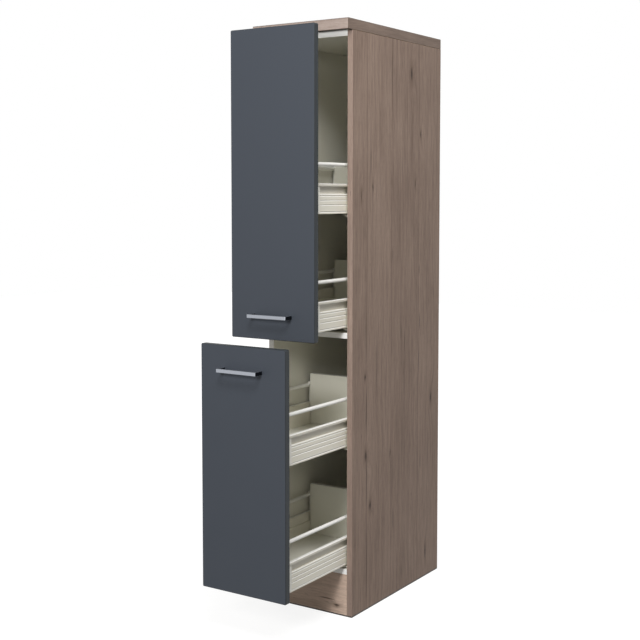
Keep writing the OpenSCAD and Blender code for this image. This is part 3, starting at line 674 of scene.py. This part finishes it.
# %% Slab and plinth
SLAB_TRIM = 1.6
low, high = box_mm("top_slab")
bm = bmesh.new()
ease(bm, add_block(bm, low, high), SLAB_TRIM)
slab_looks = {"rest": raw_chipboard, "top": oak_top, "under": painted_shade_backing, "arris": band_cut}
slab_looks.update({"front": band_front_painted_light, "left": band_side, "right": band_side})
piece("slab_board", bm, slab_looks, "carcass", "oak_decor", "top_slab")
print("Slab", [round(h - l) for l, h in zip(low, high)], "mm")
low, high = box_mm("plinth")
bm = bmesh.new()
ease(bm, add_block(bm, low, high), BOARD_ARRIS)
cut_shade_lip(bm)
plinth_looks = {"rest": raw_chipboard, "lip": painted_shade_lip, "front": oak_plinth_painted_light}
piece("plinth_board", bm, plinth_looks, "carcass", "oak_decor", "plinth")
print("Plinth", [round(h - l) for l, h in zip(low, high)], "mm")

# %% [markdown]
# ## Fronts
#
# A front is an MDF board whose outer face runs over its edges in a 2.4 mm round, and whose four corners are
# eased by 4 mm. The corners are rounded first, and then the loop round the outer face. The rear is plain
# white melamine with a small arris. NEAR is how close a corner lies to a face to belong to it.

# %% Fronts
FRONT_CORNER, FRONT_ROUND, REAR_ARRIS, NEAR = 4, 2.4, 0.5, 0.01


def front(part):
    low, high = box_mm(f"{part}_front")
    bm = bmesh.new()
    across = [e for e in add_block(bm, low, high) if abs(e.verts[0].co.y - e.verts[1].co.y) > 1]
    ease(bm, across, FRONT_CORNER, 6)
    outer = [e for e in bm.edges if all(abs(v.co.y - low[1]) < NEAR for v in e.verts)]
    ease(bm, outer, FRONT_ROUND, 6)
    inner = [e for e in bm.edges if all(abs(v.co.y - high[1]) < NEAR for v in e.verts)]
    ease(bm, inner, REAR_ARRIS, 2)
    # The narrow sides and arrises take the edge tone, painted shade.
    edges = dict.fromkeys(("left", "right", "under", "top", "arris"), slate_painted_shade_edge)
    looks = {"rest": slate, "rear": white_backing, **edges}
    piece(f"{part}_front_board", bm, looks, f"{part}_pullout", "slate_front", f"{part}_front")
    print(part, "front", [round(h - l) for l, h in zip(low, high)], "mm")


for part in PARTS:
    front(part)

# %% [markdown]
# ## Handles
#
# Each handle is a flat bow, 136 mm long: a satin bar in front, and two legs that hold it 32 mm off the
# front. The legs and every face that turns sideways, the bar's ends among them, are dark. The bow is drawn
# in plan, extruded by its height and rounded along every arris. Faces that belong to the legs or turn
# sideways are then given the dark material.
# round_corners() puts an arc into each corner of an outline, or leaves it sharp where the radius is 0.

# %% Handles
LEG, BAR, BOW_ROUNDS, BOW_ARRIS = 8, 8, (0, 3, 3, 0, 0, 2, 2, 0), 0.9
SHARP, ENDWAYS = 1.0, 0.75


def round_corners(points, radii, closed=True, steps=6):
    out = []
    for i, (point, radius) in enumerate(zip(points, radii)):
        here, before, after = Vector(point), Vector(points[i - 1]), Vector(points[(i + 1) % len(points)])
        if not radius or (not closed and i in (0, len(points) - 1)):
            out.append(tuple(here))
            continue
        a, b = (before - here).normalized(), (after - here).normalized()
        half = a.angle(b) / 2
        centre = here + (a + b).normalized() * radius / math.sin(half)
        start, end = (here + way * radius / math.tan(half) - centre for way in (a, b))
        sweep = math.pi - 2 * half
        turn = 1 if start.x * end.y - start.y * end.x > 0 else -1
        for k in range(steps + 1):
            c, s = math.cos(turn * sweep * k / steps), math.sin(turn * sweep * k / steps)
            out.append((centre.x + start.x * c - start.y * s, centre.y + start.x * s + start.y * c))
    return out


def handle(part):
    low, high = box_mm(f"{part}_handle")
    half, tip, foot = high[0], low[1], high[1]
    outside = [(-half, foot), (-half, tip), (half, tip), (half, foot)]
    inside = [(half - LEG, foot), (half - LEG, tip + BAR), (LEG - half, tip + BAR), (LEG - half, foot)]
    bm = bmesh.new()
    add_prism(bm, round_corners(outside + inside, BOW_ROUNDS), "Z", low[2], high[2])
    bmesh.ops.recalc_face_normals(bm, faces=bm.faces[:])
    ease(bm, [e for e in bm.edges if e.is_convex and e.calc_face_angle(0) > SHARP], BOW_ARRIS)
    bmesh.ops.recalc_face_normals(bm, faces=bm.faces[:])
    for edge in (half - LEG, LEG - half):
        cut_at(bm, (edge, 0, 0), (1, 0, 0))
    for face in bm.faces:
        middle = face.calc_center_median()
        leg = abs(middle.x) > half - LEG and middle.y > tip + BAR
        # The legs and every face that turns sideways take the dark material.
        face.material_index = int(leg or abs(face.normal.x) > ENDWAYS)
    looks = {"rest": satin_nickel, "legs": dark_legs_and_ends}
    piece(f"{part}_handle_bow", bm, looks, f"{part}_pullout", "satin_nickel", f"{part}_handle")
    print(part, "handle", round(2 * half), "mm long,", round(foot - tip), "mm deep")


for part in PARTS:
    handle(part)

# %% [markdown]
# ## Folded sheet
#
# A drawer side is two strips of sheet steel. The lower one is a beaded skirt that turns over a shoulder into
# an inner web and a flange for the base board. The upper one is a web that stands on the shoulder and ends
# in a flange with a rounded hem. A press brake can't fold a sharp corner, so every bend has a radius, and
# that radius is what catches the light. Each strip is drawn as a metalworker would: a line through the
# middle of the sheet with a radius at each bend, thickened to both sides, and pulled along the drawer. A
# roller turns on a riveted axle: a collar against the sheet, the pin and its head, all turned round a line
# along X. Its four places are the collar's start and end, and the head's start and end.

# %% Sheet and turning helpers
LEAST_MITRE = 0.5
AXLE, COLLAR, HEAD, HEAD_ROUND = 3, 4.5, 4.2, 0.5


def thicken(line, thickness):
    points = [Vector(p) for p in line]
    near, far = [], []
    for i, here in enumerate(points):
        into = (here - points[i - 1]).normalized() if i else (points[1] - here).normalized()
        out = (points[i + 1] - here).normalized() if i + 1 < len(points) else into
        across = Vector((-(into + out).y, (into + out).x)).normalized()
        reach = thickness / 2 / max(across.dot(Vector((-into.y, into.x))), LEAST_MITRE)
        near.append(tuple(here + across * reach))
        far.append(tuple(here - across * reach))
    return near + far[::-1]


def add_axle(bm, places, y, z, steps=32):
    collar, pin, head, tip = places
    profile = [(collar, COLLAR), (pin, COLLAR), (pin, AXLE), (head, AXLE), (head, HEAD)]
    profile.append((tip, HEAD - HEAD_ROUND))
    turns = [(math.cos(2 * math.pi * k / steps), math.sin(2 * math.pi * k / steps)) for k in range(steps)]
    rings = [[bm.verts.new((x, y + r * c, z + r * s)) for c, s in turns] for x, r in profile]
    for a, b in zip(rings, rings[1:]):
        for i in range(steps):
            bm.faces.new((a[i - 1], a[i], b[i], b[i - 1]))
    bm.faces.new(rings[0])
    bm.faces.new(rings[-1])


def mirrored(bm):
    bmesh.ops.scale(bm, vec=(-1, 1, 1), verts=bm.verts[:])
    bmesh.ops.reverse_faces(bm, faces=bm.faces[:])


# %% [markdown]
# Each drawer's place comes from its CAD part. The sheet's own sizes are those of the section in CAD, measured
# in millimetres from the cabinet's middle and from the drawer's bottom edge. The beads are shallow grooves
# that stiffen the skirt. They are drawn as waves 1 mm deep. Their upward slopes and the flange take the
# whiter coat as a painted highlight, where light from above falls, and the downward slopes, the upper web
# under the flange and the hem's outer face take the greyer one as painted shade.

# %% Drawer sides
SHEET, SKIRT, WEB, INNER_WEB, LIP = 1.2, 126, 119, 114, 129.5
SHOULDER, SIDE_HEIGHT, LIP_DROP, FLANGE, PLAIN = 56.8, 86, 7.5, 12, 4
LOWER_BENDS, UPPER_BENDS = (0, 1.8, 1.4, 1.4, 0), (0, 1.4, 2.4, 0)
BEADS, BEAD_HALF, BEAD_DEPTH, BEAD_STEPS = (5.5, 25, 38, 50.5), 2.2, 1.0, 6
REAR_AXLE_BACK, REAR_AXLE_UP, REAR_AXLE = 14, 5.8, (SKIRT - SHEET, 123.6, 117.5, 116.8)
# Slots and slants for the painted highlight and painted shade on the drawer sides.
PAINTED_HIGHLIGHT, PAINTED_SHADE, UPRIGHT, SLOPING, BEAD_REACH = 1, 2, 0.9, 0.3, 2


def skirt_line():
    half = SHEET / 2
    line = [(SKIRT - half, 0)]
    for bead in BEADS:
        for k in range(-BEAD_STEPS, BEAD_STEPS + 1):
            dip = BEAD_DEPTH * (1 + math.cos(math.pi * k / BEAD_STEPS)) / 2
            line.append((SKIRT - half - dip, bead + BEAD_HALF * k / BEAD_STEPS))
    return line


def lower_strip():
    half = SHEET / 2
    folds = [(SKIRT - half, SHOULDER - PLAIN), (SKIRT - half, SHOULDER - half)]
    folds += [(INNER_WEB - half, SHOULDER - half), (INNER_WEB - half, half), (INNER_WEB - FLANGE, half)]
    return thicken(skirt_line() + round_corners(folds, LOWER_BENDS, closed=False), SHEET)


def upper_strip():
    half = SHEET / 2
    folds = [(WEB - half, SHOULDER - half), (WEB - half, SIDE_HEIGHT - half)]
    folds += [(LIP - half, SIDE_HEIGHT - half), (LIP - half, SIDE_HEIGHT - LIP_DROP)]
    return thicken(round_corners(folds, UPPER_BENDS, closed=False), SHEET)


def coat(bm, bottom):
    """Gives the faces of a right-hand side their painted highlight and painted shade, by their height over
    the drawer's bottom edge and the way they face.
    """
    for face in bm.faces:
        middle = face.calc_center_median() - Vector((0, 0, bottom))
        upright = face.normal.x > UPRIGHT
        if middle.z > SIDE_HEIGHT - LIP_DROP and middle.x > WEB:
            face.material_index = PAINTED_SHADE if upright else PAINTED_HIGHLIGHT
        elif middle.z > SHOULDER and upright:
            face.material_index = PAINTED_SHADE
        elif middle.z < SHOULDER and middle.x > SKIRT - BEAD_REACH and abs(face.normal.z) > SLOPING:
            face.material_index = PAINTED_HIGHLIGHT if face.normal.z > 0 else PAINTED_SHADE


def drawer_side(drawer, side):
    low, high = box_mm(f"{drawer}_side_{side}")
    bm = bmesh.new()
    for strip in (lower_strip(), upper_strip()):
        add_prism(bm, [(x, low[2] + v) for x, v in strip], "Y", low[1], high[1])
    add_axle(bm, REAR_AXLE, high[1] - REAR_AXLE_BACK, low[2] + REAR_AXLE_UP)
    bmesh.ops.recalc_face_normals(bm, faces=bm.faces[:])
    coat(bm, low[2])
    if side == "left":
        mirrored(bm)
    looks = {"rest": cream_steel, "painted highlight": white_steel_and_painted_highlight, "painted shade": painted_shade_steel}
    piece(f"{drawer}_steel_side_{side}", bm, looks, PULLOUT[drawer], "cream_steel", f"{drawer}_side_{side}")


for drawer in DRAWERS:
    for side in ("right", "left"):
        drawer_side(drawer, side)
print("Steel drawer sides:", 2 * len(DRAWERS))

# %% [markdown]
# A white cap clips over the front bracket on the outside of each drawer side. Past the edge of the front it
# shows as a bright upright line. It is a small moulding, 1 mm thick, so it only needs soft arrises.

# %% Bracket caps
CAP_START, CAP_END, CAP_FOOT, CAP_TOP, CAP_ARRIS = 8.3, 33, 1, 78, 0.4
CAP_INNER, CAP_OUTER = SKIRT + 0.05, SKIRT + 1.1
for drawer in DRAWERS:
    bm = bmesh.new()
    low, high = box_mm(f"{drawer}_side_right")
    for side in (-1, 1):
        near, far = sorted((side * CAP_INNER, side * CAP_OUTER))
        start = (near, low[1] + CAP_START, low[2] + CAP_FOOT)
        end = (far, low[1] + CAP_END, low[2] + CAP_TOP)
        ease(bm, add_block(bm, start, end), CAP_ARRIS)
    piece(f"{drawer}_bracket_caps", bm, {"rest": white_abs}, PULLOUT[drawer], "holder_plastic")
print("Bracket caps:", 2 * len(DRAWERS), "of them,", CAP_TOP - CAP_FOOT, "mm high")

# %% [markdown]
# ## Cabinet runners
#
# The runner on the cabinet side is a channel, open at the top: a plate screwed to the side panel, a track
# that the drawer's rear roller runs on, and a tall blade. A narrow guard over that roller keeps a loaded
# drawer from tipping, and a bent stop ends the travel. A nylon roller near the runner's front end carries
# the drawer's shoulder. Its axle is riveted to the blade. Heights are measured from the drawer's bottom
# edge, and the axle's places and the guard's width from the blade's outer face, where the roller's lane is.

# %% Cabinet runners
RUNNER_SHEET, WALL, BLADE, TRACK, PLATE_TOP, BLADE_TOP = 1.5, 132, 114.8, -6.5, 30, 50
RUNNER_BENDS, GUARD_UP, GUARD_WIDTH = (0, 2, 2, 0), 19.25, 6.5
STOP_IN, STOP_SHEET, STOP_HEIGHT, STOP_ARRIS = 82, 2, 14, 0.5
FRONT_AXLE_IN, FRONT_AXLE_UP, FRONT_AXLE = 14, 43.3, (-0.2, 0.5, 6.6, 7.3)


def runner(drawer, side):
    low, high = box_mm(f"{drawer}_runners")
    z, half, lane = low[2] + RUNNER_SHEET - TRACK, RUNNER_SHEET / 2, BLADE + RUNNER_SHEET
    folds = [(WALL - half, PLATE_TOP), (WALL - half, TRACK - half)]
    folds += [(BLADE + half, TRACK - half), (BLADE + half, BLADE_TOP)]
    channel = thicken(round_corners(folds, RUNNER_BENDS, closed=False), RUNNER_SHEET)
    guard = thicken([(lane - half, GUARD_UP), (lane + GUARD_WIDTH, GUARD_UP)], RUNNER_SHEET)
    bm = bmesh.new()
    for section in (channel, guard):
        add_prism(bm, [(x, z + v) for x, v in section], "Y", low[1], high[1])
    start = (lane - half, low[1] + STOP_IN, z + TRACK - half)
    end = (lane + GUARD_WIDTH, low[1] + STOP_IN + STOP_SHEET, z + TRACK + STOP_HEIGHT)
    ease(bm, add_block(bm, start, end), STOP_ARRIS, 2)
    add_axle(bm, [lane + x for x in FRONT_AXLE], low[1] + FRONT_AXLE_IN, z + FRONT_AXLE_UP)
    if side == "left":
        mirrored(bm)
    name, looks = f"{drawer}_steel_runner_{side}", {"rest": cream_steel}
    piece(name, bm, looks, "carcass", "cream_steel", f"{drawer}_runners")


for drawer in DRAWERS:
    for side in ("right", "left"):
        runner(drawer, side)
print("Steel runners:", 2 * len(DRAWERS))

# %% [markdown]
# ## Back boards of the drawers
#
# A back board is 16 mm chipboard with white paper on both faces. Its visible edges carry a smoother white
# band, rounded by 1 mm. The band is a shade lighter than the paper, its own colour and also a painted
# highlight along the top and side edges.

# %% Back boards
BAND_ARRIS = 1.0
for drawer in DRAWERS:
    low, high = box_mm(f"{drawer}_rear_board")
    bm = bmesh.new()
    ease(bm, add_block(bm, low, high), BAND_ARRIS)
    # The top and side edges take the lighter band, partly a painted highlight.
    looks = {"rest": white_melamine, "top": white_band_and_painted_highlight, "left": white_band_and_painted_highlight, "right": white_band_and_painted_highlight}
    piece(f"{drawer}_back_board", bm, looks, PULLOUT[drawer], "white_melamine", f"{drawer}_rear_board")
    print(drawer, "back board", round(high[2] - low[2]), "mm high")

# %% [markdown]
# ## Screws
#
# Every screw is a real one: a domed zinc-plated head with a cross recess, and a shank that runs into the
# board. All are made the same way, as rings of 16 points stacked along an axis. A ring is round, or shaped
# like the cross: two of the cross rings make the recess. A screw's size is the radius and height of its head
# and the radius of its shank.

# %% Studs of stacked rings
ARM = math.atan(0.25)
TURNS = [math.pi / 2 * quarter + t for quarter in range(4) for t in (0, ARM, math.pi / 4, math.pi / 2 - ARM)]
ROUND, CROSS = (1, 1, 1, 1), (0.6, 0.62, 0.21, 0.62)
BOARD_SCREW, HANDLE_SCREW, POINT = (3.5, 2, 1.75), (4, 2.5, 2), 3


def add_stud(bm, foot, faces, rings):
    """Stacks rings of (height, radius, shape) from the foot, in the direction that the stud faces."""
    place = Matrix.Translation(foot) @ Vector(faces).to_track_quat("Z", "Y").to_matrix().to_4x4()
    stack = []
    for height, radius, shape in rings:
        ring = [(radius * shape[i % 4], t) for i, t in enumerate(TURNS)]
        points = [place @ Vector((r * math.cos(t), r * math.sin(t), height)) for r, t in ring]
        stack.append([bm.verts.new(point) for point in points])
    for near, far in zip(stack, stack[1:]):
        for i in range(len(TURNS)):
            bm.faces.new((near[i - 1], near[i], far[i], far[i - 1]))
    bm.faces.new(stack[0])
    bm.faces.new(stack[-1])


def add_screw(bm, foot, faces, size, length):
    head, dome, shank = size
    rings = [(-length, 0.2 * shank, ROUND), (-length + POINT, shank, ROUND), (0, shank, ROUND)]
    rings += [(0, head, ROUND), (0.35 * dome, head, ROUND), (0.8 * dome, 0.88 * head, ROUND)]
    rings += [(dome, 0.68 * head, ROUND), (dome, head, CROSS), (0.35 * dome, 0.85 * head, CROSS)]
    add_stud(bm, foot, faces, rings)


# %% [markdown]
# The cabinet's screws hold its runners to the side panels, the slab to the top board, with their heads sunk
# into it from below, and the steel angles for the wall under the top board. Each front takes two screws for
# its handle and four for each drawer's brackets. Places across are measured from the cabinet's middle, and
# lengths are those of the shank under the head.

# %% Screws
RUNNER_SCREW_Y, RUNNER_SCREW_UP, RUNNER_SCREW_LENGTH = (36, 250, 464), 12, 13.5
SLAB_SCREW_X, SLAB_SCREW_Y, SLAB_SCREW_SUNK, SLAB_SCREW_LENGTH = 92, (80, 423), 2, 32
ANGLE_SCREW_X, ANGLE_SCREW_Y, ANGLE_SHEET, ANGLE_SCREW_LENGTH = 66, 508, 2, 14
HANDLE_SCREW_X, HANDLE_SCREW_LENGTH = 64, 37
BRACKET_SCREW_X, BRACKET_SCREW_UP, BRACKET_SHEET, BRACKET_SCREW_LENGTH = 104, (30, 66), 2, 14
DOWN, BACKWARDS = (0, 0, -1), (0, 1, 0)
base_z = {drawer: box_mm(f"{drawer}_side_right")[0][2] for drawer in DRAWERS}
bm = bmesh.new()
for drawer in DRAWERS:
    start = box_mm(f"{drawer}_runners")[0][1]
    for side in (-1, 1):
        for y in RUNNER_SCREW_Y:
            foot = ((WALL - RUNNER_SHEET) * side, start + y, base_z[drawer] + RUNNER_SCREW_UP)
            add_screw(bm, foot, (-side, 0, 0), BOARD_SCREW, RUNNER_SCREW_LENGTH)
under = box_mm("top_board")[0][2]
for side in (-1, 1):
    for y in SLAB_SCREW_Y:
        foot = (SLAB_SCREW_X * side, y, under + SLAB_SCREW_SUNK)
        add_screw(bm, foot, DOWN, BOARD_SCREW, SLAB_SCREW_LENGTH)
    foot = (ANGLE_SCREW_X * side, ANGLE_SCREW_Y, under - ANGLE_SHEET)
    add_screw(bm, foot, DOWN, BOARD_SCREW, ANGLE_SCREW_LENGTH)
piece("cabinet_screw_set", bm, {"rest": zinc_plate}, "carcass", "zinc_fittings", "cabinet_screws")

for part in PARTS:
    rear, bow = box_mm(f"{part}_front")[1][1], box_mm(f"{part}_handle")
    body, looks = f"{part}_pullout", {"rest": zinc_plate}
    bm = bmesh.new()
    for side in (-1, 1):
        foot = (HANDLE_SCREW_X * side, rear, (bow[0][2] + bow[1][2]) / 2)
        add_screw(bm, foot, BACKWARDS, HANDLE_SCREW, HANDLE_SCREW_LENGTH)
    piece(f"{part}_handle_screw_pair", bm, looks, body, "zinc_fittings", f"{part}_handle_screws")
    bm = bmesh.new()
    for drawer in (d for d in DRAWERS if PULLOUT[d] == body):
        for side in (-1, 1):
            for up in BRACKET_SCREW_UP:
                foot = (BRACKET_SCREW_X * side, rear + BRACKET_SHEET, base_z[drawer] + up)
                add_screw(bm, foot, BACKWARDS, BOARD_SCREW, BRACKET_SCREW_LENGTH)
    piece(f"{part}_bracket_screw_set", bm, looks, body, "zinc_fittings", f"{part}_front_screws")
print("Screws: 30 in the cabinet, 2 in each handle, 8 in each front")

# %% [markdown]
# Four clear vinyl buffers on the rear of each front soften the closing. They are domes of round rings, less
# than 2 mm high.

# %% Buffers
BUFFER_X, BUFFER_IN = 139, 40
BUFFER_DOME = [(0, 3.5, ROUND), (0.9, 3.5, ROUND), (1.35, 3.1, ROUND), (1.6, 2.2, ROUND)]
for part in PARTS:
    low, high = box_mm(f"{part}_front")
    bm = bmesh.new()
    for side in (-1, 1):
        for z in (low[2] + BUFFER_IN, high[2] - BUFFER_IN):
            add_stud(bm, (BUFFER_X * side, high[1], z), BACKWARDS, BUFFER_DOME)
    piece(f"{part}_front_buffers", bm, {"rest": vinyl}, f"{part}_pullout", "nylon")
print("Buffers: 4 on each front")
